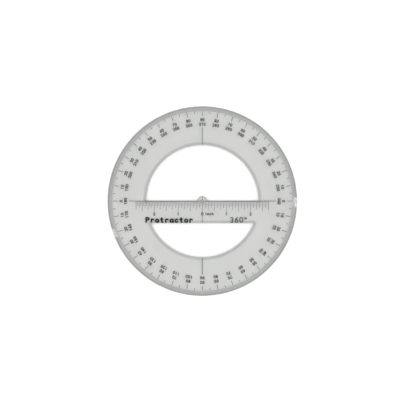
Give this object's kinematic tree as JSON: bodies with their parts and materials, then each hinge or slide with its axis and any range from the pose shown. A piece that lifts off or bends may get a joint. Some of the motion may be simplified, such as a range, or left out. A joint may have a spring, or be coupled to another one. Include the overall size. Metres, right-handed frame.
{
  "type": "full-circle protractor",
  "caption": "Clear flat round protractor with a bevelled rim, two cut-out segments, a ruler bar across the middle and printed degree scales.",
  "frame": {"origin": "centre of the degree scale, on the flat underside", "axes": "+X to the right-hand 0/360 mark, +Y to the upper 90/270 mark, +Z out of the printed face"},
  "size_m": [0.2, 0.2, 0.002],
  "materials": {
    "clear_acrylic": "clear moulded acrylic, slightly grey, polished faces, finely frosted edges",
    "black_ink": "thin black screen-printed ink, satin"
  },
  "bodies": {
    "root": {"plate": "clear_acrylic", "degree_marks_10": "black_ink", "degree_marks_5": "black_ink", "degree_marks_1": "black_ink", "quadrant_numerals": "black_ink", "full_circle_numerals": "black_ink", "baseline": "black_ink", "vertical_axis": "black_ink", "ruler_inches": "black_ink", "ruler_halves": "black_ink", "ruler_quarters": "black_ink", "ruler_eighths": "black_ink", "ruler_sixteenths": "black_ink", "ruler_numerals": "black_ink", "unit_word": "black_ink", "range_word": "black_ink", "name_word": "black_ink"}
  },
  "joints": []
}
